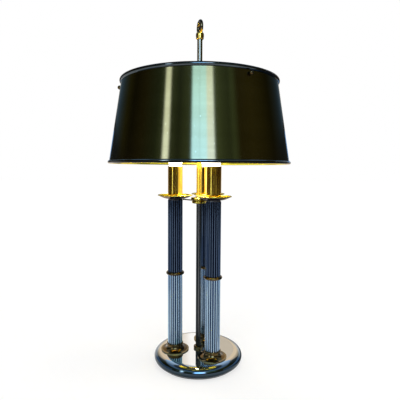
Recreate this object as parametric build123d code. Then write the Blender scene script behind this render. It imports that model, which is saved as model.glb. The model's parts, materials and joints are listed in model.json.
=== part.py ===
"""Three-column bouillotte table lamp with a metal shade that slides and turns on a centre rod.

Millimetres, +Z up. The origin is the centre of the base's underside. The cord leaves at the back, +Y.
"""
from build123d import *
from math import cos, radians, sin
import os

os.makedirs("parts", exist_ok=True)

# Plan
column_count = 3
column_circle_radius = 52.0
first_column_angle = -174.0
spider_angle = -177.3
finial_ring_angle = 16.0
clamp_screw_angle = -90.0
cord_angle = 90.0

# Fits, all radial or face to face
slip_fit = 0.10
running_fit = 0.06
moving_gap = 0.3
thrust_gap = 0.1

# Base
base_radius = 98.2
base_height = 26.5
rim_roll_width = 18.2
rim_roll_height = 13.0
base_undercut = 9.7
shell_wall = 1.6
shell_lip_width = 8.0
pad_thickness = 2.0
weight_gap = 0.5
weight_thickness = 11.0
weight_chamfer = 1.0

# Cord inlet in the base's rim
cord_bore_radius = 3.3
bushing_radius = 4.9
bushing_flange_radius = 7.0
bushing_flange_stand = 1.6
bushing_depth = 9.0
bushing_shoulder_radius = 6.0
bushing_shoulder_length = 2.0

# Threaded pipes that clamp each column, with their fixings
pipe_radius = 4.85
pipe_bore_radius = 3.4
pipe_end_stand = 1.0
washer_radius = 9.5
washer_thickness = 1.2
nut_across_flats = 17.0
nut_thickness = 4.0
lead_radius = 1.3
lead_bend_radius = 3.0
lead_floor_gap = 0.9
terminal_size = (16.0, 16.0, 8.0)
terminal_centre = (-18.0, 34.0)
terminal_approach = 9.0
terminal_chamfer = 1.5

# Feet
foot_radius = 31.0
foot_edge_thickness = 1.8
foot_neck_radius = 17.3
foot_neck_height = 10.0
foot_sweep_inset = 1.5
foot_sweep_rise = 0.7
foot_lip_radius = 18.2
foot_lip_thickness = 3.4
foot_height = 15.9
foot_seat_height = 5.0

# Fluted columns
column_radius = 16.2
column_wall = 2.6
flute_count = 20
flute_radius = 2.3
flute_centre_offset = 0.9
lower_column_length = 168.0
upper_column_length = 159.9
ring_bead_radius = 3.3
ring_outer_radius = 19.9
ring_web = 3.0
spigot_length = 6.0
cap_flange = 1.2
cap_flange_radius = 15.4

# Bobeches, candle sleeves, sockets and lamps
bobeche_radius = 38.2
bobeche_rise = 7.9
bobeche_sheet = 1.2
bobeche_floor_radius = 17.0
bobeche_sweep = 8.0
bobeche_sweep_rise = 0.6
bobeche_bead_radius = 1.1
sleeve_radius = 16.0
sleeve_wall = 1.0
sleeve_length = 69.1
socket_radius = 14.6
socket_foot_radius = 9.0
socket_foot_length = 12.8
socket_rim_below_sleeve = 4.3
socket_bore_radius = 13.3
socket_well_depth = 35.0
socket_thread_depth = 12.0
pipe_to_well_gap = 1.2
lamp_cap_radius = 13.0
lamp_cap_wall = 0.6
lamp_cap_length = 25.0
lamp_contact_radius = 4.5
lamp_contact_height = 1.2
lamp_shoulder_height = 7.0
lamp_length = 107.5
lamp_globe_radius = 30.0
lamp_neck_radius = 12.2
lamp_neck_overlap = 4.0
lamp_neck_length = 14.0
lamp_neck_flare = 0.7
lamp_globe_join = 35.0
lamp_glass = 0.9

# Centre rod and the hub that ties the columns to it
rod_radius = 5.6
rod_stand = 678.9
rod_nut_across_flats = 19.0
rod_nut_thickness = 6.0
rod_collar_radius = 10.0
rod_collar_height = 5.5
rod_collar_round = 1.6
rod_stud_radius = 3.0
rod_stud_length = 9.0
hub_upper_radius = 17.8
hub_lower_radius = 15.5
hub_tier = 6.2
hub_edge_round = 2.6
hub_groove = 0.8
hub_groove_radius = 14.0
arm_radius = 1.4
arm_eye_radius = 11.0
arm_eye_thickness = 1.4
arm_tab_width = 5.0
arm_socket_depth = 4.0
arm_outer_drop = 0.8
arm_inner_drop = 3.1
arm_knee_radius = 1.75
hub_screw_radius = 1.5
hub_screw_head_radius = 2.6
hub_screw_head = 1.6

# Shade
shade_above_sleeves = 5.1
shade_height = 175.6
shade_bottom_radius = 195.0
shade_top_radius = 169.2
shade_sheet = 0.8
shade_bottom_bead = 3.2
shade_top_bead = 4.1
shade_seam_width = 9.0
shade_seam_bite = 0.05
shade_seam_end = 0.7
spider_depth = 14.0
spider_arm_radius = 2.0
spider_hub_radius = 15.0
spider_hub_thickness = 8.0
spider_hub_chamfer = 0.8
spider_arm_socket = 4.0
ball_nut_radius = 4.3
ball_nut_depth = 4.6
ball_nut_seat = 0.6
lock_nut_radius = 4.0
lock_nut_thickness = 3.0

# Sliding carrier of the shade
carrier_radius = 8.6
carrier_flange_radius = 13.0
carrier_flange = 3.0
carrier_skirt = 10.5
carrier_neck = 18.8
carrier_nut_across_flats = 24.0
carrier_nut_thickness = 7.0
clamp_below_top = 10.0
clamp_screw_radius = 2.0
clamp_shank_length = 10.0
clamp_collar_radius = 3.6
clamp_collar = 2.5
clamp_bow_radius = 8.0
clamp_bow_wire = 1.6

# Finial
finial_collar_radius = 8.2
finial_collar = 5.0
finial_collar_round = 1.4
finial_foot_radius = 8.7
finial_foot_edge = 3.8
finial_dome_rise = 7.0
finial_ring_radius = 12.3
finial_wire_radius = 3.7
finial_ring_rise = 19.7

# Sizes and heights that follow
base_flat_radius = base_radius - rim_roll_width
base_edge_radius = base_radius - base_undercut
shell_lip_bore = base_edge_radius - shell_lip_width
weight_radius = shell_lip_bore - weight_gap
base_inside = base_height - shell_wall
weight_bottom = base_inside - weight_thickness
column_nut_bottom = weight_bottom - washer_thickness - nut_thickness
pipe_bottom = column_nut_bottom - pipe_end_stand
lead_height = pad_thickness + lead_floor_gap + lead_radius
lower_column_bottom = base_height + foot_seat_height
lower_column_top = lower_column_bottom + lower_column_length
upper_column_bottom = lower_column_top + ring_web
upper_column_top = upper_column_bottom + upper_column_length
arm_eye_bottom = upper_column_top + cap_flange
arm_eye_middle = arm_eye_bottom + arm_eye_thickness / 2
arm_outer_height = arm_eye_middle - arm_outer_drop
hub_centre_height = arm_eye_middle - arm_inner_drop
arm_start = column_radius + arm_radius
arm_hub_end = hub_groove_radius - arm_socket_depth
bobeche_bottom = arm_eye_bottom + arm_eye_thickness
bobeche_floor = bobeche_bottom + bobeche_sheet
sleeve_top = bobeche_floor + sleeve_length
socket_rim = sleeve_top - socket_rim_below_sleeve
socket_well = socket_rim - socket_well_depth
socket_thread_top = bobeche_floor + socket_thread_depth
pipe_top = socket_thread_top - pipe_to_well_gap
lamp_cap_top = socket_well + lamp_cap_length
rod_top = base_height + rod_stand
shade_bottom = sleeve_top + shade_above_sleeves
shade_top = shade_bottom + shade_height
bead_bottom = shade_bottom + shade_bottom_bead
bead_top = shade_top - shade_top_bead
wall_bottom_radius = shade_bottom_radius - shade_bottom_bead
wall_top_radius = shade_top_radius - shade_top_bead
wall_lean = (wall_bottom_radius - wall_top_radius) / (bead_top - bead_bottom)
spider_height = shade_top - spider_depth
spider_hub_bottom = spider_height - spider_hub_thickness / 2
spider_hub_top = spider_height + spider_hub_thickness / 2
carrier_flange_top = spider_hub_bottom - thrust_gap
carrier_flange_bottom = carrier_flange_top - carrier_flange
carrier_bottom = carrier_flange_bottom - carrier_skirt
carrier_nut_bottom = spider_hub_top + thrust_gap
carrier_top = carrier_nut_bottom + carrier_nut_thickness + carrier_neck
clamp_height = carrier_top - clamp_below_top
finial_foot_bottom = rod_top + finial_collar
finial_edge_top = finial_foot_bottom + finial_foot_edge
finial_dome_top = finial_edge_top + finial_dome_rise
finial_ring_height = finial_foot_bottom + finial_ring_rise

ON_FLOOR = (Align.CENTER, Align.CENTER, Align.MIN)


def turned(*edges):
    """Solid of revolution about Z from a closed outline of edges drawn as (radius, height)."""
    return revolve(Plane.XZ * make_face(edges), Axis.Z)


def cylinder(radius, bottom, top):
    return Pos(0, 0, bottom) * Cylinder(radius, top - bottom, align=ON_FLOOR)


def ring(radius, bore, bottom, top):
    return cylinder(radius, bottom, top) - cylinder(bore, bottom, top)


def hex_nut(across_flats, bore, bottom, thickness):
    outline = RegularPolygon(across_flats / 2, 6, major_radius=False) - Circle(bore)
    return Pos(0, 0, bottom) * extrude(outline, thickness)


def spoke(radius, start, end, height):
    """Round bar along +X from one radius to another."""
    return Pos(start, 0, height) * Rot(0, 90, 0) * Cylinder(radius, end - start, align=ON_FLOOR)


def widest_edges(shape):
    """The round edges of the largest radius, top and bottom."""
    return shape.edges().filter_by(GeomType.CIRCLE).group_by(SortBy.RADIUS)[-1]


def column_angle(index):
    return first_column_angle + index * 360 / column_count


def at_column(shape, index):
    """A shape drawn about Z, moved to a column with its +X side facing away from the centre rod."""
    return Rot(0, 0, column_angle(index)) * Pos(column_circle_radius, 0, 0) * shape


def round_spider(shape):
    """Copies of a shape drawn along +X, one for each arm of the spider."""
    return [Rot(0, 0, spider_angle + i * 360 / column_count) * shape for i in range(column_count)]


def publish(name, *solids):
    """Writes one sub-part, which is one solid or a group of like solids."""
    shape = solids[0] if len(solids) == 1 else Compound(children=list(solids))
    export_step(shape, f"parts/{name}.step")


def publish_columns(name, shape):
    """Writes one numbered sub-part for each column."""
    for index in range(column_count):
        publish(f"{name}_{index + 1}", at_column(shape, index))


# ---- Base ----

def base_body(inset):
    """The base's outer form, or the form of its hollow when it is inset by the sheet."""
    top = base_height - inset
    side = base_radius - inset
    roll_centre = (base_flat_radius, base_height - rim_roll_height)
    roll_width = side - base_flat_radius
    edge = base_edge_radius - inset
    rim_top = (base_flat_radius, top)
    rim_side = (side, roll_centre[1])
    rim_bottom = (edge, pad_thickness)
    return turned(
        Line((0, pad_thickness), (0, top)),
        Line((0, top), rim_top),
        EllipticalCenterArc(roll_centre, roll_width, rim_roll_height - inset, arc_size=90),
        TangentArc(rim_side, rim_bottom, tangent=(0, -1)),
        Line(rim_bottom, (0, pad_thickness)),
    )


def cord_hole_axis(radius, start, end):
    """Round bar that points out of the base through the widest line of its rim."""
    return Rot(0, 0, cord_angle) * spoke(radius, start, end, base_height - rim_roll_height)


def base_shell():
    shell = base_body(0) - base_body(shell_wall)
    lip_top = pad_thickness + shell_wall
    shell += ring(base_edge_radius - shell_wall / 2, shell_lip_bore, pad_thickness, lip_top)
    shell -= cylinder(rod_radius + slip_fit, weight_bottom, base_height)
    for index in range(column_count):
        shell -= at_column(cylinder(pipe_radius + slip_fit, weight_bottom, base_height), index)
    return shell - cord_hole_axis(bushing_radius + slip_fit, weight_radius, base_radius)


def base_weight():
    weight = cylinder(weight_radius, weight_bottom, base_inside)
    weight -= cylinder(rod_radius + slip_fit, weight_bottom, base_inside)
    for index in range(column_count):
        weight -= at_column(cylinder(pipe_radius + slip_fit, weight_bottom, base_inside), index)
    return chamfer(widest_edges(weight), weight_chamfer)


def cord_bushing():
    end = base_radius + bushing_flange_stand
    inner_end = base_radius - bushing_depth
    shoulder_end = inner_end + bushing_shoulder_length
    flange = cord_hole_axis(bushing_flange_radius, shoulder_end, end) - base_body(0)
    barrel = cord_hole_axis(bushing_radius, inner_end, end)
    shoulder = cord_hole_axis(bushing_shoulder_radius, inner_end, shoulder_end)
    return flange + barrel + shoulder - cord_hole_axis(cord_bore_radius, inner_end, end)


def socket_lead(index):
    """Two-core lead from a socket down its pipe and across the base to the terminal block."""
    angle = radians(column_angle(index))
    start = Vector(column_circle_radius * cos(angle), column_circle_radius * sin(angle), socket_thread_top)
    corner = Vector(start.X, start.Y, lead_height)
    block = Vector(terminal_centre[0], terminal_centre[1], lead_height)
    side = [Vector(-1, 0, 0), Vector(0, -1, 0), Vector(1, 0, 0)][index]
    end = block + side * (terminal_size[0] / 2)
    approach = end + side * terminal_approach
    path = FilletPolyline(start, corner, approach, end, radius=[lead_bend_radius, terminal_approach / 2])
    return sweep(Plane(origin=start, z_dir=(0, 0, -1)) * Circle(lead_radius), path)


def terminal_block():
    block = Box(*terminal_size, align=ON_FLOOR)
    block = chamfer(block.edges().filter_by(Axis.Z), terminal_chamfer)
    return Pos(*terminal_centre, pad_thickness) * block


# ---- Columns ----

def foot():
    """Turned foot: a thin disc that sweeps up into a neck and a lip, bored for the column."""
    bottom = base_height
    top = bottom + foot_height
    seat = bottom + foot_seat_height
    bore = column_radius + slip_fit
    hole = pipe_radius + slip_fit
    disc_edge = (foot_radius, bottom + foot_edge_thickness)
    sweep_bend = (foot_neck_radius + foot_sweep_inset, disc_edge[1] + foot_sweep_rise)
    neck = (foot_neck_radius, bottom + foot_neck_height)
    lip_bottom = (foot_neck_radius, top - foot_lip_thickness)
    lip_middle = (foot_lip_radius, top - foot_lip_thickness / 2)
    lip_top = (bore, top)
    return turned(
        Line((hole, bottom), (foot_radius, bottom)),
        Line((foot_radius, bottom), disc_edge),
        Bezier(disc_edge, sweep_bend, neck),
        Line(neck, lip_bottom),
        Bezier(lip_bottom, (foot_lip_radius, lip_bottom[1]), lip_middle),
        Bezier(lip_middle, (foot_lip_radius, top), lip_top),
        Line(lip_top, (bore, seat)),
        Line((bore, seat), (hole, seat)),
        Line((hole, seat), (hole, bottom)),
    )


def fluted_tube(bottom, top):
    """Column tube with concave flutes rolled over its whole length."""
    flute = Pos(column_radius + flute_centre_offset, 0) * Circle(flute_radius)
    section = Circle(column_radius) - Circle(column_radius - column_wall)
    section -= [Rot(0, 0, i * 360 / flute_count) * flute for i in range(flute_count)]
    return Pos(0, 0, bottom) * extrude(section, top - bottom)


def column_ring():
    """Bead between the column's two lengths, with a web and a spigot into each tube."""
    middle = (lower_column_top + upper_column_bottom) / 2
    bead = Pos(0, 0, middle) * Torus(ring_outer_radius - ring_bead_radius, ring_bead_radius)
    seat_radius = column_radius + slip_fit
    bead -= cylinder(seat_radius, lower_column_top - spigot_length, lower_column_top)
    bead -= cylinder(seat_radius, upper_column_bottom, upper_column_bottom + spigot_length)
    web = cylinder(ring_outer_radius - ring_bead_radius, lower_column_top, upper_column_bottom)
    spigot_radius = column_radius - column_wall - slip_fit
    spigot = cylinder(spigot_radius, lower_column_top - spigot_length, upper_column_bottom + spigot_length)
    hole = cylinder(pipe_radius + slip_fit, lower_column_top - spigot_length,
                    upper_column_bottom + spigot_length)
    return bead + web + spigot - hole


def column_cap():
    """Plug in the column's top that centres the pipe."""
    plug = cylinder(column_radius - column_wall - slip_fit, upper_column_top - spigot_length,
                    upper_column_top)
    flange = cylinder(cap_flange_radius, upper_column_top, arm_eye_bottom)
    hole = cylinder(pipe_radius + slip_fit, upper_column_top - spigot_length, arm_eye_bottom)
    return plug + flange - hole


def bobeche():
    """Spun drip pan with a flat floor, a flared side and a beaded rim."""
    hole = pipe_radius + slip_fit
    rim = bobeche_radius - bobeche_bead_radius
    rim_height = bobeche_bottom + bobeche_rise
    low_bend = (bobeche_floor_radius + bobeche_sweep, bobeche_bottom + bobeche_sweep_rise)
    high_bend = (bobeche_floor_radius + bobeche_sweep, bobeche_floor + bobeche_sweep_rise)
    pan = turned(
        Line((hole, bobeche_bottom), (bobeche_floor_radius, bobeche_bottom)),
        Bezier((bobeche_floor_radius, bobeche_bottom), low_bend, (rim, rim_height - bobeche_sheet / 2)),
        Line((rim, rim_height - bobeche_sheet / 2), (rim, rim_height + bobeche_sheet / 2)),
        Bezier((rim, rim_height + bobeche_sheet / 2), high_bend, (bobeche_floor_radius, bobeche_floor)),
        Line((bobeche_floor_radius, bobeche_floor), (hole, bobeche_floor)),
        Line((hole, bobeche_floor), (hole, bobeche_bottom)),
    )
    return pan + Pos(0, 0, rim_height) * Torus(rim, bobeche_bead_radius)


def candle_sleeve():
    return ring(sleeve_radius, sleeve_radius - sleeve_wall, bobeche_floor, sleeve_top)


def lamp_socket():
    foot_top = bobeche_floor + socket_foot_length
    body = cylinder(socket_foot_radius, bobeche_floor, foot_top)
    body += cylinder(socket_radius, foot_top, socket_rim)
    body -= cylinder(socket_bore_radius, socket_well, socket_rim)
    return body - cylinder(pipe_radius + slip_fit, bobeche_floor, socket_thread_top)


def lamp_cap():
    """Screw cap of a lamp, open at the top for the glass neck."""
    inner = lamp_cap_radius - lamp_cap_wall
    shoulder = socket_well + lamp_shoulder_height
    contact_top = socket_well + lamp_contact_height
    return turned(
        Line((0, socket_well), (lamp_contact_radius, socket_well)),
        Line((lamp_contact_radius, socket_well), (lamp_contact_radius, contact_top)),
        Line((lamp_contact_radius, contact_top), (lamp_cap_radius, shoulder)),
        Line((lamp_cap_radius, shoulder), (lamp_cap_radius, lamp_cap_top)),
        Line((lamp_cap_radius, lamp_cap_top), (inner, lamp_cap_top)),
        Line((inner, lamp_cap_top), (inner, shoulder)),
        Line((inner, shoulder), (0, shoulder)),
        Line((0, shoulder), (0, socket_well)),
    )


def lamp_glass_outline(inset):
    """Neck and globe curves of the lamp's glass, from the neck's end to the tip."""
    neck_end = (lamp_neck_radius - inset, lamp_cap_top - lamp_neck_overlap)
    neck_start = (lamp_neck_radius - inset, lamp_cap_top)
    neck_top = (lamp_neck_radius + lamp_neck_flare - inset, lamp_cap_top + lamp_neck_length)
    tip_height = socket_well + lamp_length
    centre = tip_height - lamp_globe_radius
    radius = lamp_globe_radius - inset
    join = radians(lamp_globe_join)
    join_point = (radius * cos(join), centre - radius * sin(join))
    side_point = (radius, centre)
    tip = (0, centre + radius)
    flare = (lamp_neck_flare, lamp_neck_length)
    swell = (sin(join), cos(join))
    neck = Polyline(neck_end, neck_start, neck_top)
    shoulder = Spline(neck_top, join_point, tangents=(flare, swell))
    globe_low = TangentArc(join_point, side_point, tangent=swell)
    globe_high = TangentArc(side_point, tip, tangent=(0, 1))
    return neck_end, tip, [neck, shoulder, globe_low, globe_high]


def glass_globe():
    """Hollow glass of a lamp, open at the neck."""
    outer_end, outer_tip, outer = lamp_glass_outline(0)
    inner_end, inner_tip, inner = lamp_glass_outline(lamp_glass)
    return turned(*outer, Line(outer_tip, inner_tip), *inner, Line(inner_end, outer_end))


# ---- Centre rod and tie hub ----

def centre_rod():
    bottom = weight_bottom - rod_nut_thickness - pipe_end_stand
    stud = cylinder(rod_stud_radius, rod_top, rod_top + rod_stud_length)
    return cylinder(rod_radius, bottom, rod_top) + stud


def rod_collar():
    collar = ring(rod_collar_radius, rod_radius + slip_fit, base_height, base_height + rod_collar_height)
    return fillet(widest_edges(collar), rod_collar_round)


def hub_tier_bead(radius, bottom):
    tier = cylinder(radius, bottom, bottom + hub_tier)
    return fillet(tier.edges().filter_by(GeomType.CIRCLE), hub_edge_round)


def arm_bar(radius, start, end):
    """Sloping bar of a tie arm along +X, between two distances from the centre rod."""
    run = column_circle_radius - arm_start - arm_hub_end
    slope = (arm_outer_height - hub_centre_height) / run
    low = (start, 0, hub_centre_height + slope * (start - arm_hub_end))
    high = (end, 0, hub_centre_height + slope * (end - arm_hub_end))
    path = Line(low, high)
    return sweep(Plane(origin=path @ 0, z_dir=path % 0) * Circle(radius), path)


def tie_arm():
    """Bar from the hub to an eye that is clamped under the bobeche, drawn about its column's axis."""
    eye = cylinder(arm_eye_radius, arm_eye_bottom, bobeche_bottom)
    tab = Pos(-arm_start / 2, 0, arm_eye_bottom) * Box(arm_start, arm_tab_width, arm_eye_thickness,
                                                       align=ON_FLOOR)
    knee = Pos(-arm_start, 0, arm_outer_height) * Sphere(arm_knee_radius)
    knee -= cylinder(bobeche_radius, bobeche_bottom, bobeche_floor)
    bar = arm_bar(arm_radius, arm_hub_end, column_circle_radius - arm_start)
    bar = Pos(-column_circle_radius, 0, 0) * bar
    return eye + tab + knee + bar - cylinder(pipe_radius + slip_fit, arm_eye_bottom, bobeche_bottom)


def hub_screw_axis(radius, start, end):
    """Round bar across the hub's lower tier, midway between two arms."""
    height = hub_centre_height - hub_groove / 2 - hub_tier / 2
    return Rot(0, 0, column_angle(0) + 180) * spoke(radius, start, end, height)


def hub_screw():
    """Set screw that holds the hub on the rod."""
    head_end = hub_lower_radius + hub_screw_head
    shank = hub_screw_axis(hub_screw_radius, rod_radius, hub_lower_radius)
    return shank + hub_screw_axis(hub_screw_head_radius, hub_lower_radius, head_end)


def tie_hub():
    """Two-tier disc round the rod, with a socket for each arm in the groove."""
    top = hub_centre_height + hub_groove / 2 + hub_tier
    bottom = hub_centre_height - hub_groove / 2 - hub_tier
    hub = hub_tier_bead(hub_upper_radius, top - hub_tier) + hub_tier_bead(hub_lower_radius, bottom)
    hub += cylinder(hub_groove_radius, hub_centre_height - hub_groove, hub_centre_height + hub_groove)
    hub -= cylinder(rod_radius + slip_fit, bottom, top)
    socket = arm_bar(arm_radius + slip_fit, arm_hub_end, hub_upper_radius)
    for index in range(column_count):
        hub -= Rot(0, 0, column_angle(index)) * socket
    return hub - hub_screw_axis(hub_screw_radius + slip_fit, rod_radius, hub_lower_radius)


# ---- Shade ----

def wall_radius(height):
    """Radius of the middle of the shade's sheet."""
    return wall_bottom_radius - wall_lean * (height - bead_bottom)


def shade_wall(inner_offset, outer_offset, arc=360):
    """Conical sheet between two offsets from its middle surface."""
    outline = Polyline(
        (wall_bottom_radius + inner_offset, bead_bottom),
        (wall_bottom_radius + outer_offset, bead_bottom),
        (wall_top_radius + outer_offset, bead_top),
        (wall_top_radius + inner_offset, bead_top),
        close=True,
    )
    return revolve(Plane.XZ * make_face(outline), Axis.Z, revolution_arc=arc)


def shade_solid(offset):
    """Everything inside the shade's sheet, as a cone to trim against."""
    low, high = bead_bottom, bead_top
    return turned(
        Line((0, low), (wall_radius(low) + offset, low)),
        Line((wall_radius(low) + offset, low), (wall_radius(high) + offset, high)),
        Line((wall_radius(high) + offset, high), (0, high)),
        Line((0, high), (0, low)),
    )


def shade_seam():
    """Lap of the sheet over itself, which stops short of both beads."""
    arc = shade_seam_width / (radians(1) * wall_bottom_radius)
    lap = shade_wall(shade_sheet / 2 - shade_seam_bite, 1.5 * shade_sheet, arc)
    seam_bottom = bead_bottom + shade_bottom_bead + shade_seam_end
    seam_top = bead_top - shade_top_bead - shade_seam_end
    band = cylinder(shade_bottom_radius, seam_bottom, seam_top)
    return Rot(0, 0, cord_angle - arc / 2) * (lap & band)


def shade_cone():
    """Rolled sheet with a lapped seam at the back and a hole for each arm of the spider."""
    cone = shade_wall(-shade_sheet / 2, shade_sheet / 2) + shade_seam()
    start = wall_radius(spider_height) - ball_nut_radius
    hole = spoke(spider_arm_radius + slip_fit, start, start + 2 * ball_nut_radius, spider_height)
    return cone - round_spider(hole)


def shade_rim(radius, height, bead):
    """Wired bead with a groove that grips the edge of the sheet."""
    grip = slip_fit / 2 + shade_sheet / 2
    return Pos(0, 0, height) * Torus(radius, bead) - shade_wall(-grip, grip)


def shade_spider():
    """Hub ring that turns on the carrier, and the three round arms that are screwed into it."""
    start = spider_hub_radius - spider_arm_socket
    reach = wall_radius(spider_height) + ball_nut_depth
    arms = round_spider(spoke(spider_arm_radius, start, reach, spider_height))
    sockets = round_spider(spoke(spider_arm_radius + slip_fit, start, spider_hub_radius, spider_height))
    hub = ring(spider_hub_radius, carrier_radius + running_fit, spider_hub_bottom, spider_hub_top)
    hub = chamfer(widest_edges(hub), spider_hub_chamfer)
    return [hub - sockets, *arms]


def ball_nuts():
    """Ball nuts outside the sheet, each seated to its slope."""
    centre = wall_radius(spider_height) + shade_sheet / 2 + ball_nut_radius - ball_nut_seat
    ball = Pos(centre, 0, spider_height) * Sphere(ball_nut_radius) - shade_solid(shade_sheet / 2)
    bore_end = wall_radius(spider_height) + ball_nut_depth + slip_fit
    ball -= spoke(spider_arm_radius + slip_fit, bore_end - 2 * ball_nut_radius, bore_end, spider_height)
    return round_spider(ball)


def spider_lock_nuts():
    """Round nuts inside the sheet that clamp it against the ball nuts."""
    wall = wall_radius(spider_height)
    start = wall - shade_sheet / 2 - lock_nut_thickness
    nut = spoke(lock_nut_radius, start, wall + lock_nut_thickness, spider_height)
    nut = nut & shade_solid(-shade_sheet / 2)
    nut -= spoke(spider_arm_radius + slip_fit, start, wall + lock_nut_thickness, spider_height)
    return round_spider(nut)


def shade_carrier():
    """Flanged sleeve that slides on the rod and is clamped by its screw."""
    body = cylinder(carrier_radius, carrier_bottom, carrier_top)
    body += cylinder(carrier_flange_radius, carrier_flange_bottom, carrier_flange_top)
    body -= cylinder(rod_radius + running_fit, carrier_bottom, carrier_top)
    tapping = spoke(clamp_screw_radius + running_fit, rod_radius, 2 * carrier_radius, clamp_height)
    return body - Rot(0, 0, clamp_screw_angle) * tapping


def clamp_screw():
    """Key-shaped clamp screw: a shank, a collar and a round bow."""
    tip = rod_radius + moving_gap
    shank_end = tip + clamp_shank_length
    collar_end = shank_end + clamp_collar
    shank = spoke(clamp_screw_radius, tip, shank_end, clamp_height)
    collar = spoke(clamp_collar_radius, shank_end, collar_end, clamp_height)
    bow_radius = clamp_bow_radius - clamp_bow_wire
    bow_centre = collar_end + bow_radius
    bow = Pos(bow_centre, 0, clamp_height) * Rot(90, 0, 0) * Torus(bow_radius, clamp_bow_wire)
    return Rot(0, 0, clamp_screw_angle) * (shank + collar + bow)


# ---- Finial ----

def finial_loop():
    """Domed foot that screws on the rod's stud and carries the lifting ring."""
    bottom = finial_foot_bottom
    edge_top = (finial_foot_radius, finial_edge_top)
    dome_top = (0, finial_dome_top)
    foot = turned(
        Line((0, bottom), (finial_foot_radius, bottom)),
        Line((finial_foot_radius, bottom), edge_top),
        Bezier(edge_top, (finial_foot_radius, finial_dome_top), dome_top),
        Line(dome_top, (0, bottom)),
    )
    loop = Pos(0, 0, finial_ring_height) * Rot(0, 90, 0) * Torus(finial_ring_radius, finial_wire_radius)
    stud_hole = cylinder(rod_stud_radius + slip_fit, bottom, rod_top + rod_stud_length)
    return Rot(0, 0, finial_ring_angle) * (foot + loop - stud_hole)


def finial_collar_nut():
    bore = rod_stud_radius + slip_fit
    collar = ring(finial_collar_radius, bore, rod_top, finial_foot_bottom)
    return fillet(widest_edges(collar), finial_collar_round)


# ---- Sub-parts ----

publish("base_shell", base_shell())
publish("base_weight", base_weight())
publish("base_pad", cylinder(base_edge_radius, 0, pad_thickness))
publish("cord_bushing", cord_bushing())
publish("terminal_block", terminal_block())
publish("socket_leads", *[socket_lead(i) for i in range(column_count)])

pipe = ring(pipe_radius, pipe_bore_radius, pipe_bottom, pipe_top)
washer = ring(washer_radius, pipe_radius + slip_fit, weight_bottom - washer_thickness, weight_bottom)
nut = hex_nut(nut_across_flats, pipe_radius + slip_fit, column_nut_bottom, nut_thickness)
publish("column_washers", *[at_column(washer, i) for i in range(column_count)])
publish("column_nuts", *[at_column(nut, i) for i in range(column_count)])
publish_columns("column_pipe", pipe)
publish_columns("foot", foot())
publish_columns("lower_column", fluted_tube(lower_column_bottom, lower_column_top))
publish_columns("column_ring", column_ring())
publish_columns("upper_column", fluted_tube(upper_column_bottom, upper_column_top))
publish_columns("column_cap", column_cap())
publish_columns("tie_arm", tie_arm())
publish_columns("bobeche", bobeche())
publish_columns("candle_sleeve", candle_sleeve())
publish_columns("lamp_socket", lamp_socket())
publish_columns("lamp_cap", lamp_cap())
publish_columns("lamp_glass", glass_globe())

rod_nut_bottom = weight_bottom - rod_nut_thickness
publish("centre_rod", centre_rod())
publish("rod_nut", hex_nut(rod_nut_across_flats, rod_radius + slip_fit, rod_nut_bottom, rod_nut_thickness))
publish("rod_collar", rod_collar())
publish("tie_hub", tie_hub())
publish("hub_screw", hub_screw())

publish("shade_cone", shade_cone())
publish("shade_bottom_rim", shade_rim(wall_bottom_radius, bead_bottom, shade_bottom_bead))
publish("shade_top_rim", shade_rim(wall_top_radius, bead_top, shade_top_bead))
publish("shade_spider", *shade_spider())
publish("ball_nuts", *ball_nuts())
publish("spider_lock_nuts", *spider_lock_nuts())
publish("shade_carrier", shade_carrier())
carrier_nut = hex_nut(carrier_nut_across_flats, carrier_radius + slip_fit, carrier_nut_bottom,
                      carrier_nut_thickness)
publish("carrier_nut", carrier_nut)
publish("clamp_screw", clamp_screw())
publish("finial_collar", finial_collar_nut())
publish("finial_ring", finial_loop())
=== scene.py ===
import json
from math import cos, pi, radians, sin

import bpy
from mathutils import Matrix, Vector


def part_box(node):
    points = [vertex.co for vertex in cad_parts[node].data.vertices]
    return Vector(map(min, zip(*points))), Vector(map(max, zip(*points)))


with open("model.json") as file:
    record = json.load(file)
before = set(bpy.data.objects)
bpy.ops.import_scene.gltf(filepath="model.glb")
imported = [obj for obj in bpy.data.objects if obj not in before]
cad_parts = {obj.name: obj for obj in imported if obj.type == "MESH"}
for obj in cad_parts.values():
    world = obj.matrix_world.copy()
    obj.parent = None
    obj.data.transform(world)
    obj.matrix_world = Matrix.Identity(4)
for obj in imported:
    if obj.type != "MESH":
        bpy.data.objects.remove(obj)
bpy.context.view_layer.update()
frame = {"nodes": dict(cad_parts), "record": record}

nodes = frame["nodes"]
scene = bpy.context.scene

# ---- Camera ----

CAMERA_PLACE = (0, -0.8563, 0.42926)  # metres, as all lengths here
CAMERA_PITCH = radians(4.4987)        # downwards
CAMERA_ROLL = 0.00594                 # radians
CAMERA_SENSOR = 36                    # millimetres, as is the lens
CAMERA_LENS = 35.129
CAMERA_SHIFT = 0.00267                # share of the sensor's width

camera_data = bpy.data.cameras.new("camera")
camera_data.sensor_width = CAMERA_SENSOR
camera_data.lens = CAMERA_LENS
camera_data.shift_x = CAMERA_SHIFT
camera = bpy.data.objects.new("camera", camera_data)
scene.collection.objects.link(camera)
camera.matrix_world = (Matrix.Translation(CAMERA_PLACE)
                       @ Matrix.Rotation(pi / 2 - CAMERA_PITCH, 4, "X")
                       @ Matrix.Rotation(CAMERA_ROLL, 4, "Z"))
scene.camera = camera
scene.view_settings.view_transform = "Standard"


# ---- What a material is made with ----

BLACK = (0, 0, 0, 1)
WHITE = (1, 1, 1, 1)
WIDE = (0.3, 0.7)      # nearly all the values of a noise
TIGHT = (0.35, 0.65)   # its middle values, for clearer patches
ROUND_THE_AXIS = 0.25  # turns of the brush lines
ALONG_THE_AXIS = 0.0


def srgb(red, green, blue):
    """A colour given in 0 to 255, as linear values."""
    def linear(channel):
        c = channel / 255
        return c / 12.92 if c <= 0.04045 else ((c + 0.055) / 1.055) ** 2.4
    return (linear(red), linear(green), linear(blue), 1)


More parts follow.
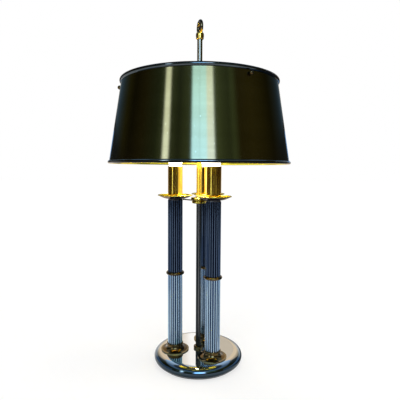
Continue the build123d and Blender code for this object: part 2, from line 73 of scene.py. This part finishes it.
class Finish:
    """A node material. Plain values go straight on its sockets, and patterns are linked to them."""

    def __init__(self, name, **sockets):
        self.material = bpy.data.materials.new(name)
        self.material.use_nodes = True
        self.tree = self.material.node_tree
        self.shader = self.tree.nodes["Principled BSDF"]
        for socket, value in sockets.items():
            self.link(socket.replace("_", " "), value)
        self.place = self.add("ShaderNodeTexCoord").outputs["Object"]

    def feed(self, node, socket, value):
        """Sets a socket to a plain value, or links it where the value is another node's output."""
        target = node.inputs[socket]
        if isinstance(value, bpy.types.NodeSocket):
            self.tree.links.new(value, target)
        else:
            target.default_value = value

    def link(self, socket, value):
        """The same for a socket of the material's own shader."""
        self.feed(self.shader, socket, value)

    def add(self, kind, inputs=(), **settings):
        node = self.tree.nodes.new(kind)
        for name, value in settings.items():
            setattr(node, name, value)
        for socket, value in dict(inputs).items():
            self.feed(node, socket, value)
        return node

    def math(self, operation, *values):
        node = self.add("ShaderNodeMath", enumerate(values), operation=operation)
        return node.outputs[0]

    def plus(self, first, second):
        return self.math("ADD", first, second)

    def minus(self, first, second):
        return self.math("SUBTRACT", first, second)

    def times(self, first, second):
        return self.math("MULTIPLY", first, second)

    def above(self, value, limit):
        """1 where the value is above the limit, and 0 elsewhere."""
        return self.math("GREATER_THAN", value, limit)

    def below(self, value, limit):
        """1 where the value is below the limit, and 0 elsewhere."""
        return self.math("LESS_THAN", value, limit)

    def distance(self, x, y):
        return self.math("SQRT", self.plus(self.times(x, x), self.times(y, y)))

    def span(self, value, low, high, to_low=0.0, to_high=1.0):
        """The value's range low to high, spread evenly over another range."""
        node = self.add("ShaderNodeMapRange", {
            "Value": value, "From Min": low, "From Max": high, "To Min": to_low, "To Max": to_high})
        return node.outputs[0]

    def mix(self, factor, first, second, blend="MIX"):
        node = self.add("ShaderNodeMix", data_type="RGBA", blend_type=blend)
        for socket, value in ((0, factor), (6, first), (7, second)):
            self.feed(node, socket, value)
        return node.outputs[2]

    def noise(self, scale, stretch=(1, 1, 1), detail=3.0, distortion=0.0):
        """Noise in cells per metre, which is drawn out along an axis whose stretch is small."""
        mapped = self.add("ShaderNodeMapping", {"Vector": self.place, "Scale": stretch})
        node = self.add("ShaderNodeTexNoise", {
            "Vector": mapped.outputs[0], "Scale": scale, "Detail": detail, "Distortion": distortion})
        return node.outputs["Fac"]

    def bump(self, height, strength, distance):
        node = self.add("ShaderNodeBump", {
            "Strength": strength, "Distance": distance, "Height": height})
        return node.outputs[0]

    def axes(self):
        node = self.add("ShaderNodeSeparateXYZ", {0: self.place})
        return node.outputs[0], node.outputs[1], node.outputs[2]

    def height(self):
        return self.axes()[2]

    def radius(self):
        """Distance from the lamp's axis."""
        x, y = self.axes()[:2]
        return self.distance(x, y)

    def facing_up(self):
        """1 where the surface looks up, 0 where it is upright and -1 where it looks down."""
        normal = self.add("ShaderNodeNewGeometry").outputs["Normal"]
        return self.add("ShaderNodeSeparateXYZ", {0: normal}).outputs[2]

    def brushed(self, turn):
        """Brush lines round the lamp's axis or along it."""
        tangent = self.add("ShaderNodeTangent", direction_type="RADIAL", axis="Z")
        self.link("Tangent", tangent.outputs[0])
        self.link("Anisotropic Rotation", turn)


# ---- Materials for any piece ----

FOOT_HIGHLIGHT_HEIGHT = 0.0022              # height of the painted highlight along the feet's lowest edge
FINIAL_LOOP = (0.7195, 0.7215)  # heights between which the finial's foot turns into its loop
# how far down a face looks where the painted shade of undersides begins and where it is full
PAINTED_UNDERSIDE_SHADE = (-0.25, -0.7)
PATCH_SHARE = 0.6               # of the unevenness of a metal's polish; its grain has the rest
SOFT_PATCHES = 8                # size of a patch, in cells of the grain
SOFT_SPREAD = 0.08


def metal(name, colour, dark, roughness, spread=0.06, stretch=(1, 1, 1), grain=900.0,
          depth=0.00002, patches=28.0, under=None, edge=None, finial=None):
    """Metal with a cloudy tone, uneven polish and fine grain.

    dark is the tone of its duller patches, under that of painted shade on faces that look down,
    edge that of a painted highlight on the feet's lowest edge, and finial holds those of the
    finial's foot and loop.
    """
    f = Finish(name, Metallic=1.0)
    cloud = f.noise(patches, stretch=stretch, detail=4.0)
    tone = f.mix(f.span(cloud, *TIGHT), dark, colour)
    height = f.height()
    if under is not None:
        # painted shade: faces that look down take the darker under tone
        tone = f.mix(f.span(f.facing_up(), *PAINTED_UNDERSIDE_SHADE), tone, under)
    if edge is not None:
        # painted highlight: a paler tone along the feet's lowest edge
        tone = f.mix(f.below(height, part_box("foot_1")[0][2] + FOOT_HIGHLIGHT_HEIGHT), tone, edge)
    if finial is not None:
        foot, loop = finial
        tone = f.mix(f.above(height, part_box("shade_cone")[1][2]), tone, foot)
        tone = f.mix(f.span(height, *FINIAL_LOOP), tone, loop)
    f.link("Base Color", tone)
    fine = f.noise(grain, stretch=stretch, detail=2.0)
    uneven = f.plus(f.times(cloud, PATCH_SHARE), f.times(fine, 1 - PATCH_SHARE))
    f.link("Roughness", f.span(uneven, *WIDE, roughness - spread, roughness + spread))
    f.link("Normal", f.bump(fine, 0.25, depth))
    return f.material


def soft(name, first, second, roughness, scale, depth=0.0001, strength=0.5):
    """Anything that isn't metal: two tones, uneven sheen and a grain."""
    f = Finish(name)
    cloud = f.noise(scale / SOFT_PATCHES)
    grain = f.noise(scale, detail=4.0)
    f.link("Base Color", f.mix(f.span(cloud, *TIGHT), first, second))
    f.link("Roughness", f.span(grain, *WIDE, roughness - SOFT_SPREAD, roughness + SOFT_SPREAD))
    f.link("Normal", f.bump(grain, strength, depth))
    return f.material


# ---- Materials for one kind of piece ----

SHEET_SLOPE = 0.1586            # the shade's sheet: its radius falls by this for each metre up
SHEET_RADIUS = 0.26215          # from this radius at the height of the table
RIM_MIDDLE = 0.52               # a height between the shade's two rims
LOWER_RIM_SHADE = (0.15, -0.15)  # how far up the lower rim looks where it turns dark with painted shade
UPPER_RIM_SHADE = (0.2, 0.5)     # and the upper one, also painted shade
GILT = srgb(255, 238, 84)
GILT_DULL = srgb(246, 222, 66)
BASE_RIM = (0.086, 0.0925)      # radii between which the base's flat turns into its rolled rim and its painted dark reflection
BASE_SHOULDER_SHADE = (0.6, 0.3)      # how far up the rim looks where its painted shade gets darker
BASE_UNDERSIDE_SHADE = (0.05, -0.35)   # and where that painted shade is darkest
LAMP_NECK = (0.450, 0.462)      # heights between which a lamp's neck widens into the pear
FLUTE_FLOOR = (0.0149, 0.0154)  # radii in a column over which the painted shade of a flute's floor fades
FLUTE_RIDGE = (0.0154, 0.0161)  # and the painted highlight of a ridge appears


def outside_of_sheet(f):
    """1 outside the middle of the shade's sloping sheet, and 0 inside."""
    return f.above(f.plus(f.radius(), f.times(f.height(), SHEET_SLOPE)), SHEET_RADIUS)


def shade_finish():
    """Brushed bronze outside and gilt inside."""
    f = Finish("shade_metal", Metallic=1.0, Anisotropic=0.95, Specular_Tint=(0.50, 0.62, 0.72, 1))
    f.brushed(ROUND_THE_AXIS)
    outside = outside_of_sheet(f)
    inside = f.minus(1.0, outside)
    lines = f.noise(1.0, stretch=(10, 10, 2600), detail=2.0)
    broad = f.noise(1.0, stretch=(7, 7, 40))
    specks = f.noise(520.0, detail=1.0)
    bronze = f.mix(f.span(broad, *TIGHT), srgb(93, 88, 66), srgb(99, 94, 72))
    bronze = f.mix(f.span(lines, *TIGHT, 0.0, 0.16), bronze, srgb(78, 72, 50))
    bronze = f.mix(f.span(specks, 0.77, 0.8), bronze, srgb(150, 146, 130))
    gilt = f.mix(f.span(broad, *WIDE), GILT_DULL, GILT)
    f.link("Base Color", f.mix(outside, gilt, bronze))
    brushed = f.span(lines, *WIDE, 0.12, 0.17)
    satin = f.span(broad, *WIDE, 0.34, 0.44)
    f.link("Roughness", f.plus(f.times(brushed, outside), f.times(satin, inside)))
    f.link("Normal", f.bump(lines, 0.06, 0.00001))
    return f.material


def rim_finish():
    """Polished gunmetal with painted shade: nearly black where the lower rim looks down and the
    upper rim looks up, darker all over on the upper rim, and gilt inside as the sheet is.
    """
    f = Finish("rim_gunmetal", Metallic=1.0)
    cloud = f.noise(40.0, detail=4.0)
    lower_steel = f.mix(f.span(cloud, *TIGHT), srgb(88, 95, 97), srgb(102, 111, 115))
    # the upper rim's steel is a darker, painted-shade copy of the lower rim's
    shaded_upper_steel = f.mix(f.span(cloud, *TIGHT), srgb(62, 68, 71), srgb(76, 83, 87))
    up = f.facing_up()
    upper = f.above(f.height(), RIM_MIDDLE)
    # painted shade: nearly black where the lower rim looks down and the upper rim looks up
    painted_rim_shade = f.mix(upper, f.span(up, *LOWER_RIM_SHADE), f.span(up, *UPPER_RIM_SHADE))
    steel = f.mix(painted_rim_shade, f.mix(upper, lower_steel, shaded_upper_steel), srgb(14, 16, 20))
    f.link("Base Color", f.mix(outside_of_sheet(f), GILT, steel))
    fine = f.noise(1200.0, detail=2.0)
    f.link("Roughness", f.span(fine, *WIDE, 0.08, 0.14))
    f.link("Normal", f.bump(fine, 0.1, 0.00001))
    return f.material


def base_finish():
    """Mirror-bright plate on the flat top; over the rolled rim a painted dark blue-grey reflection,
    with painted shade that deepens where the rim turns down.
    """
    f = Finish("mirror_chrome", Metallic=1.0)
    on_rim = f.span(f.radius(), *BASE_RIM)
    up = f.facing_up()
    cloud = f.noise(16.0, detail=4.0)
    top = f.mix(f.span(cloud, *WIDE), srgb(228, 225, 220), srgb(236, 234, 230))
    # painted reflection and shade: the same plate darker over the rim, darker still as it turns down
    rim = f.mix(f.span(cloud, *WIDE), srgb(84, 98, 108), srgb(98, 113, 124))
    rim = f.mix(f.span(up, *BASE_SHOULDER_SHADE), rim, srgb(60, 72, 82))
    rim = f.mix(f.span(up, *BASE_UNDERSIDE_SHADE), rim, srgb(30, 42, 50))
    f.link("Base Color", f.mix(on_rim, top, rim))
    scuffs = f.noise(240.0, stretch=(1, 0.2, 1), detail=5.0, distortion=1.5)
    polish = f.span(scuffs, 0.35, 0.75, 0.02, 0.07)
    f.link("Roughness", f.plus(polish, f.times(on_rim, 0.06)))
    f.link("Normal", f.bump(cloud, 0.2, 0.0001))
    return f.material


def lamp_finish():
    """Frosted glass with light behind it: white at the neck, warmer and dimmer round the pear."""
    f = Finish("lamp_glass", Roughness=0.45, Emission_Strength=3.0)
    mottle = f.span(f.noise(60.0), *WIDE)
    pear = f.span(f.height(), *LAMP_NECK)
    neck_glow = f.mix(mottle, (1.0, 0.93, 0.78, 1), (1.0, 0.96, 0.86, 1))
    pear_glow = f.mix(mottle, (0.26, 0.205, 0.095, 1), (0.30, 0.245, 0.12, 1))
    f.link("Base Color", f.mix(pear, srgb(252, 247, 235), srgb(226, 206, 160)))
    f.link("Emission Color", f.mix(pear, neck_glow, pear_glow))
    f.link("Normal", f.bump(f.noise(1500.0, detail=2.0), 0.15, 0.00002))
    return f.material


COLUMN_COUNT = 3


def column_centre(index):
    """Centre of a column in plan."""
    low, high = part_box(f"lower_column_{index + 1}")
    return ((low[0] + high[0]) / 2, (low[1] + high[1]) / 2)


def column_finish(name, first, second, deep, painted_flute_shade, ridge):
    """Drawn steel: painted highlights on the ridges, painted shade in the flutes, and streaks along
    the tube's whole length.
    """
    f = Finish(name, Metallic=1.0, Anisotropic=0.6, Specular_Tint=(0.35, 0.42, 0.50, 1))
    f.brushed(ALONG_THE_AXIS)
    x, y = f.axes()[:2]
    nearest = None
    for index in range(COLUMN_COUNT):
        centre = column_centre(index)
        distance = f.distance(f.minus(x, centre[0]), f.minus(y, centre[1]))
        nearest = distance if nearest is None else f.math("MINIMUM", nearest, distance)
    streaks = f.noise(1.0, stretch=(170, 170, 3), detail=2.0)
    lines = f.noise(1.0, stretch=(1300, 1300, 9), detail=2.0)
    broad = f.noise(1.0, stretch=(60, 60, 11), detail=2.0)
    tone = f.mix(f.span(streaks, 0.36, 0.64), first, second)
    tone = f.mix(f.span(broad, 0.46, 0.56, 0.0, 0.55), tone, deep)
    # painted shade in the flute floors
    tone = f.mix(f.span(nearest, *FLUTE_FLOOR, 1.0, 0.0), tone, painted_flute_shade)
    # painted highlight on the ridge tips
    tone = f.mix(f.span(nearest, *FLUTE_RIDGE, 0.0, 0.85), tone, ridge)
    f.link("Base Color", f.mix(f.span(lines, 0.55, 0.75, 0.0, 0.35), tone, ridge))
    f.link("Roughness", f.span(lines, *WIDE, 0.14, 0.24))
    f.link("Normal", f.bump(lines, 0.12, 0.00002))
    return f.material


def rod_finish():
    """Steel rod with marks along it: dark up to the hub as painted shade, gilt inside the shade as a
    painted reflection of the lit sleeves and shade, grey above.
    """
    f = Finish("rod_chrome", Metallic=1.0, Specular_Tint=(0.4, 0.45, 0.5, 1))
    hub_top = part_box("tie_hub")[1][2]
    carrier_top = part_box("carrier_nut")[1][2]
    height = f.height()
    cloud = f.noise(1.0, stretch=(80, 80, 5))
    marks = f.noise(1.0, stretch=(1500, 1500, 14), detail=2.0)
    streaks = f.noise(1.0, stretch=(420, 420, 3), detail=2.0)
    # painted shade: the rod darker up to the hub
    dark = f.mix(f.span(streaks, 0.44, 0.6), srgb(28, 31, 35), srgb(112, 113, 113))
    # painted reflection: gilt where the rod stands among the lit sleeves
    gilt = f.mix(f.span(streaks, 0.42, 0.58), srgb(238, 210, 92), srgb(206, 176, 66))
    grey = f.mix(f.span(cloud, *TIGHT), srgb(112, 103, 90), srgb(126, 117, 102))
    tone = f.mix(f.above(height, hub_top), dark, gilt)
    f.link("Base Color", f.mix(f.above(height, carrier_top), tone, grey))
    f.link("Roughness", f.span(marks, *WIDE, 0.23, 0.27))
    f.link("Normal", f.bump(marks, 0.04, 0.00001))
    return f.material


FINISHES = {
    "shade_metal": shade_finish(),
    "rim_gunmetal": rim_finish(),
    "mirror_chrome": base_finish(),
    "lamp_glass": lamp_finish(),
    "rod_chrome": rod_finish(),
    "blue_steel": column_finish(
        "blue_steel", first=srgb(64, 98, 138), second=srgb(96, 142, 178),
        deep=srgb(60, 92, 148), painted_flute_shade=srgb(26, 44, 72), ridge=srgb(206, 228, 240)),
    # navy_steel is a painted-shade copy of blue_steel, darker for the upper columns under the shade
    "navy_steel": column_finish(
        "navy_steel", first=srgb(22, 32, 54), second=srgb(38, 54, 84),
        deep=srgb(18, 26, 48), painted_flute_shade=srgb(10, 15, 28), ridge=srgb(96, 114, 138)),
    # antique_brass: edge is a painted highlight along the feet's lowest edge
    "antique_brass": metal(
        "antique_brass", srgb(110, 90, 56), srgb(68, 55, 34), 0.07, spread=0.03, depth=0.000001,
        patches=24.0, edge=srgb(146, 132, 102), finial=(srgb(182, 150, 74), srgb(92, 78, 56))),
    # bright_brass: under is painted shade on the hub's and drip pans' undersides
    "bright_brass": metal(
        "bright_brass", srgb(216, 198, 84), srgb(196, 176, 68), 0.18, spread=0.03,
        depth=0.0000015, patches=24.0, under=srgb(112, 78, 28)),
    "gilt_sleeve": metal(
        "gilt_sleeve", srgb(253, 220, 92), srgb(180, 138, 54), 0.14, spread=0.05,
        depth=0.000008, patches=300.0, stretch=(1, 1, 0.05), grain=1400.0),
    "plated_steel": metal("plated_steel", srgb(110, 112, 116), srgb(84, 86, 92), 0.24),
    "lamp_metal": metal("lamp_metal", srgb(212, 212, 214), srgb(180, 180, 184), 0.25),
    "cast_iron": soft("cast_iron", srgb(54, 54, 56), srgb(74, 73, 72), 0.62, 500.0),
    "felt": soft(
        "felt", srgb(34, 38, 35), srgb(52, 56, 52), 0.9, 1800.0, depth=0.0003, strength=0.9),
    "black_plastic": soft("black_plastic", srgb(24, 24, 25), srgb(34, 34, 35), 0.42, 900.0),
    "lead_sheath": soft("lead_sheath", srgb(58, 42, 30), srgb(74, 54, 38), 0.5, 700.0),
    "porcelain": soft(
        "porcelain", srgb(236, 231, 218), srgb(246, 243, 234), 0.22, 260.0, depth=0.00005),
}

SLOTS = {part["node"]: part["material_slot"] for part in frame["record"]["subparts"]}
for name, node in nodes.items():
    node.data.materials.clear()
    node.data.materials.append(FINISHES[SLOTS[name]])
    for polygon in node.data.polygons:
        polygon.material_index = 0


# ---- Floor and background ----

FLOOR_RADIUS = 14
FLOOR_SIDES = 96
FLOOR_TONES = (srgb(159, 159, 159), srgb(161, 161, 161))
FLOOR_GLOW = (0.665, 0.735)    # near the lamp and far from it
FLOOR_GLOW_SPAN = (0.4, 3.0)   # distances from the lamp between which the glow grows
WORLD_LIGHT = 0.8


def light_path_white(tree, shown, lighting, socket):
    """A strength of shown where the camera or a reflection looks, and of lighting for the rest."""
    path = tree.nodes.new("ShaderNodeLightPath")
    seen = path.outputs["Is Camera Ray"]
    for ray in ("Is Glossy Ray", "Is Transmission Ray"):
        either = tree.nodes.new("ShaderNodeMath")
        either.operation = "MAXIMUM"
        tree.links.new(seen, either.inputs[0])
        tree.links.new(path.outputs[ray], either.inputs[1])
        seen = either.outputs[0]
    strength = tree.nodes.new("ShaderNodeMapRange")
    strength.inputs["To Min"].default_value = lighting
    strength.inputs["To Max"].default_value = shown
    tree.links.new(seen, strength.inputs["Value"])
    tree.links.new(strength.outputs[0], socket)


def floor():
    """White floor that runs far behind the lamp and keeps its shadow.

    It glows more where less light falls.
    """
    bpy.ops.mesh.primitive_circle_add(vertices=FLOOR_SIDES, radius=FLOOR_RADIUS, fill_type="NGON")
    plane = bpy.context.object
    plane.name = "floor"
    f = Finish("floor", Roughness=0.9, Specular_IOR_Level=0.0)
    f.link("Base Color", f.mix(f.span(f.noise(3.0), *WIDE), *FLOOR_TONES))
    glow = f.span(f.radius(), *FLOOR_GLOW_SPAN, *FLOOR_GLOW)
    f.link("Emission Color", f.mix(glow, BLACK, WHITE))
    light_path_white(f.tree, 1.0, 0.0, f.shader.inputs["Emission Strength"])
    plane.data.materials.append(f.material)


def white_world():
    """Plain white light, and white where the camera or a reflection sees it."""
    world = bpy.data.worlds.new("world")
    scene.world = world
    world.use_nodes = True
    background = world.node_tree.nodes["Background"]
    background.inputs["Color"].default_value = WHITE
    light_path_white(world.node_tree, 1.0, WORLD_LIGHT, background.inputs["Strength"])


# ---- The room that polished metal shows ----

def place_round(radius, angle, height):
    """A point round the lamp, for an angle that is 0 in front and grows to the right."""
    return (radius * sin(angle), -radius * cos(angle), height)


def mesh_object(name, points, faces, material):
    mesh = bpy.data.meshes.new(name)
    mesh.from_pydata(points, [], faces)
    mesh.materials.append(material)
    thing = bpy.data.objects.new(name, mesh)
    scene.collection.objects.link(thing)
    return thing


def only_in_reflections(thing):
    thing.visible_camera = False
    thing.visible_diffuse = False
    thing.visible_shadow = False
    thing.visible_transmission = False


FLOOR_CARD_TONE = srgb(52, 60, 70)
FLOOR_CARD_HEIGHT = 0.001
FLOOR_CARD_OUTLINE = (
    (0.12, -0.03), (3.0, -0.5), (3.0, 3.0), (0.0, 3.0), (0.0, 0.12), (0.09, 0.085),
)


def floor_card():
    """Dark card on the floor at the right."""
    f = Finish("floor_card", Base_Color=FLOOR_CARD_TONE, Roughness=0.9, Specular_IOR_Level=0.0)
    points = [(x, y, FLOOR_CARD_HEIGHT) for x, y in FLOOR_CARD_OUTLINE]
    card = mesh_object("floor_card", points, [tuple(range(len(points)))], f.material)
    only_in_reflections(card)


CARD_RADIUS = 0.5
CARD_START = 60                     # degrees from the front, on both sides
CARD_STEP = 3
CARD_GAP = 17                       # the cards are high between these two angles from the back
CARD_SIDE = 50
CARD_BLEND = 10                     # degrees over which the colours of the high cards end
CARD_BOTTOM = 0.02
CARD_TOP = 0.56
CARD_LOW_TOP = 0.19
CARD_BACK = (0.82 * CARD_RADIUS, 0.94 * CARD_RADIUS)
CARD_WHITE = (1.1, 1.1, 1.08, 1)
CARD_GREY = (0.40, 0.40, 0.39, 1)   # straight behind
CARD_SIDES = (0.20, 0.34, 0.56, 1)
CARD_TAN = (0.76, 0.63, 0.46, 1)
CARD_TAN_START = (0.13, 0.18)       # heights over which the tan begins
CARD_BLUE = (0.30, 0.52, 0.86, 1)
CARD_BLUE_START = (0.45, 0.49)


def base_cards():
    """Cards at the sides and behind, for the base's rolled rim, the feet and the columns.

    They are cut lower straight behind, so that the flat of the base still shows the wall there.
    """
    points, faces = [], []
    for angle in range(CARD_START, 360 - CARD_START + 1, CARD_STEP):
        from_back = abs(180 - angle)
        top = CARD_TOP if CARD_GAP < from_back < CARD_SIDE else CARD_LOW_TOP
        for height in (CARD_BOTTOM, top):
            points.append(place_round(CARD_RADIUS, radians(angle), height))
    for i in range(0, len(points) - 2, 2):
        faces.append((i, i + 2, i + 3, i + 1))
    f = Finish("base_cards", Base_Color=BLACK, Roughness=1.0, Emission_Strength=1.0)
    y, z = f.axes()[1:]
    blend_end = CARD_RADIUS * cos(radians(CARD_SIDE + CARD_BLEND))
    back = f.span(y, blend_end, CARD_RADIUS * cos(radians(CARD_SIDE)))
    low = f.mix(back, CARD_SIDES, f.mix(f.span(y, *CARD_BACK), CARD_WHITE, CARD_GREY))
    colour = f.mix(f.span(z, *CARD_TAN_START), low, CARD_TAN)
    colour = f.mix(f.span(z, *CARD_BLUE_START), colour, CARD_BLUE)
    f.link("Emission Color", f.mix(back, low, colour))
    cards = mesh_object("base_cards", points, faces, f.material)
    only_in_reflections(cards)


WALL_RADIUS = 3.2
WALL_HEIGHT = 5.0
WALL_SIDES = 120
WINDOW_SILL = (1.0, 1.1)              # heights over which the windows begin
WINDOW_HEAD = (2.8, 2.9)              # and end
HIGH_WALL_START = (3.1, 3.3)
CEILING_MARGIN = 0.01
PANE_SPAN = (1.5, 2.5)                # heights over which a window's tint and lean change
PANE_TINTS = ((1.02, 1.10, 1.50, 1), WHITE)
LEFT_TINTS = ((1.38, 1.33, 1.42, 1), (1.08, 1.03, 0.95, 1))
WINDOW_LEAN = (-0.6 / 360, 0.0)       # shares of a turn, as the two below
LEFT_LEAN = (-2.1 / 360, 0.6 / 360)
LEFT_END = 0.45                       # from straight behind, past the left window
DOOR_SHARE = 0.30                     # the left window's light that goes on below its sill
FIRST_REFLECTION = 1.5                # ray depth past which the windows are dim
DIM_PANE = (0.02, 0.03, 0.04, 1)
LOW_WALL = (0.005, 0.004, 0.003, 1)
HIGH_WALL = (0.030, 0.044, 0.064, 1)
CEILING = (0.006, 0.008, 0.010, 1)
BRIGHTEST = 12.0                      # strength of a colour of 1 on the walls
PLAIN = (1.0, 1.0, 1.0)
CREAM = (0.78, 0.94, 1.03)
AQUA = (0.57, 1.02, 1.37)
OLIVE = (0.68, 0.96, 0.48)
BROWN = (1.0, 0.85, 0.20)
SLATE = (0.70, 0.84, 0.95)
TAN = (0.79, 0.71, 0.59)
# Each stop is (angle, strength, colour), with 0 degrees in front and + to the right.
WALLS = (
    (-180, 1.15, PLAIN), (-177.5, 1.15, PLAIN), (-177.0, 1.0, TAN), (-160, 0.9, TAN),
    (-150, 0.26, SLATE), (-134, 0.24, SLATE), (-112, 0.10, BROWN), (-98, 0.03, BROWN),
    (-78, 0.07, BROWN), (-56, 0.12, OLIVE), (-49, 0.25, OLIVE), (-35, 0.25, OLIVE),
    (-26, 0.12, OLIVE), (-14, 0.32, OLIVE), (0, 0.32, OLIVE), (20.2, 0.50, OLIVE),
    (29, 0.30, OLIVE), (38, 0.20, OLIVE), (44, 0.34, OLIVE), (52, 0.10, BROWN),
    (70, 0.13, BROWN), (88, 0.10, BROWN), (106, 0.05, BROWN), (134, 0.16, SLATE),
    (150, 0.26, SLATE), (160, 0.75, TAN), (179.9, 0.82, TAN), (180, 1.15, PLAIN),
)
WINDOWS = (
    (-180, 0, PLAIN), (-48.5, 0, CREAM), (-45.8, 5.6, CREAM), (-41, 5.6, CREAM),
    (-38, 0, CREAM), (-13, 0, AQUA), (-10.3, 0.6, AQUA), (-9.2, 7.3, AQUA),
    (-1.0, 7.3, AQUA), (0, 6.3, AQUA), (1.0, 7.6, AQUA), (8.2, 7.6, AQUA),
    (9.6, 7.2, CREAM), (17, 7.2, CREAM), (19, 0.1, AQUA), (22, 0, AQUA),
)


def angle_ramp(f, turn, places):
    """Colour by the angle round the lamp, as a share of the brightest strength."""
    ramp = f.add("ShaderNodeValToRGB", {"Fac": turn})
    stops = ramp.color_ramp.elements
    for index, (angle, strength, colour) in enumerate(places):
        place = (angle + 180) / 360
        stop = stops[index] if index < 2 else stops.new(place)
        stop.position = place
        stop.color = (*(channel * strength / BRIGHTEST for channel in colour), 1)
    return ramp.outputs[0]


def wall_colour(f):
    """Walls with two windows between a dark foot and a dark ceiling."""
    x, y, z = f.axes()
    turn = f.span(f.math("ARCTAN2", x, f.times(y, -1.0)), -pi, pi)
    left = f.below(turn, LEFT_END)
    rise = f.span(z, *PANE_SPAN)
    lean = f.plus(turn, f.span(z, *PANE_SPAN, *WINDOW_LEAN))
    lean = f.plus(lean, f.times(left, f.span(z, *PANE_SPAN, *LEFT_LEAN)))
    tint = f.mix(left, f.mix(rise, *PANE_TINTS), f.mix(rise, *LEFT_TINTS))
    panes = f.mix(1.0, angle_ramp(f, lean, WINDOWS), tint, blend="MULTIPLY")
    depth = f.add("ShaderNodeLightPath").outputs["Ray Depth"]
    panes = f.mix(f.below(depth, FIRST_REFLECTION), DIM_PANE, panes)
    bare = angle_ramp(f, turn, WALLS)
    foot = f.mix(f.times(left, DOOR_SHARE), LOW_WALL, panes, blend="ADD")
    middle = f.mix(1.0, bare, panes, blend="ADD")
    colour = f.mix(f.span(z, *WINDOW_SILL), foot, middle)
    colour = f.mix(f.span(z, *WINDOW_HEAD), colour, bare)
    colour = f.mix(f.span(z, *HIGH_WALL_START), colour, HIGH_WALL)
    return f.mix(f.above(z, WALL_HEIGHT - CEILING_MARGIN), colour, CEILING)


def studio_walls():
    """Upright ring of walls round the lamp under a ceiling."""
    points, faces = [], []
    for i in range(WALL_SIDES):
        for height in (0, WALL_HEIGHT):
            points.append(place_round(WALL_RADIUS, 2 * pi * i / WALL_SIDES, height))
        j = (i + 1) % WALL_SIDES
        faces.append((2 * i, 2 * j, 2 * j + 1, 2 * i + 1))
    faces.append(tuple(range(1, 2 * WALL_SIDES, 2)))
    f = Finish("studio_walls")
    glow = f.add("ShaderNodeEmission", {"Color": wall_colour(f), "Strength": BRIGHTEST})
    out = next(node for node in f.tree.nodes if node.type == "OUTPUT_MATERIAL")
    f.tree.links.new(glow.outputs[0], out.inputs["Surface"])
    ring = mesh_object("studio_walls", points, faces, f.material)
    only_in_reflections(ring)


# ---- Lights ----

LAMP_LIGHT = 0.9                # watts
LAMP_LIGHT_HEIGHT = 0.47
LAMP_LIGHT_RADIUS = 0.012
LAMP_LIGHT_COLOUR = (1.0, 0.95, 0.82)
GLOW_GAP = 0.004                # above the hub
GLOW_TOP = 0.440
GLOW_WIDTH = 0.040
GLOW_COLOUR = (1.0, 0.95, 0.74)
SLEEVE_GLOW = 0.3               # shares of the way from the rod to a column
ROD_GLOW = -0.42
FRONT_GLOW = (-0.022, -0.032)   # place in plan
FRONT_GLOW_WIDTH = 0.016
OVERHEAD_PLACE = (0.6, -0.8, 3.0)
OVERHEAD_TARGET = (0, 0, 0.3)
OVERHEAD_SIZE = (2.4, 2.4)
OVERHEAD_RADIANCE = 1.2


def area_light(name, place, target, size, radiance, colour=(1, 1, 1), glossy=True):
    """Rectangular softbox, which is white at a radiance of 1."""
    data = bpy.data.lights.new(name, "AREA")
    data.shape = "RECTANGLE"
    data.size, data.size_y = size
    data.energy = radiance * pi * size[0] * size[1]
    data.color = colour
    light = bpy.data.objects.new(name, data)
    scene.collection.objects.link(light)
    aim = (Vector(target) - Vector(place)).to_track_quat("-Z", "Y")
    light.matrix_world = Matrix.Translation(place) @ aim.to_matrix().to_4x4()
    light.visible_camera = False
    light.visible_glossy = glossy


def lamp_light(index):
    """Warm light between two lamps, for the sleeves, the rod and the shade's inside."""
    (x, y), (u, v) = column_centre(index), column_centre((index + 1) % COLUMN_COUNT)
    data = bpy.data.lights.new(f"lamp_light_{index + 1}", "POINT")
    data.shadow_soft_size = LAMP_LIGHT_RADIUS
    data.energy = LAMP_LIGHT
    data.color = LAMP_LIGHT_COLOUR
    light = bpy.data.objects.new(data.name, data)
    scene.collection.objects.link(light)
    light.location = ((x + u) / 2, (y + v) / 2, LAMP_LIGHT_HEIGHT)
    light.visible_camera = False


def lamp_glow(name, place, target, width):
    """Upright glow of the lamps' light above the hub, turned to a sleeve or the rod."""
    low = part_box("tie_hub")[1][2] + GLOW_GAP
    level = (low + GLOW_TOP) / 2
    size = (width, GLOW_TOP - low)
    area_light(name, (*place, level), (*target, level), size, 1.0, colour=GLOW_COLOUR)


floor()
floor_card()
base_cards()
for index in range(COLUMN_COUNT):
    x, y = column_centre(index)
    lamp_light(index)
    for kind, share, target in (("sleeve", SLEEVE_GLOW, (x, y)), ("rod", ROD_GLOW, (0, 0))):
        lamp_glow(f"{kind}_glow_{index + 1}", (share * x, share * y), target, GLOW_WIDTH)
left_sleeve = min(column_centre(index) for index in range(COLUMN_COUNT))
lamp_glow("front_glow", FRONT_GLOW, left_sleeve, FRONT_GLOW_WIDTH)
white_world()
studio_walls()
area_light("overhead", OVERHEAD_PLACE, OVERHEAD_TARGET, OVERHEAD_SIZE, OVERHEAD_RADIANCE,
           glossy=False)
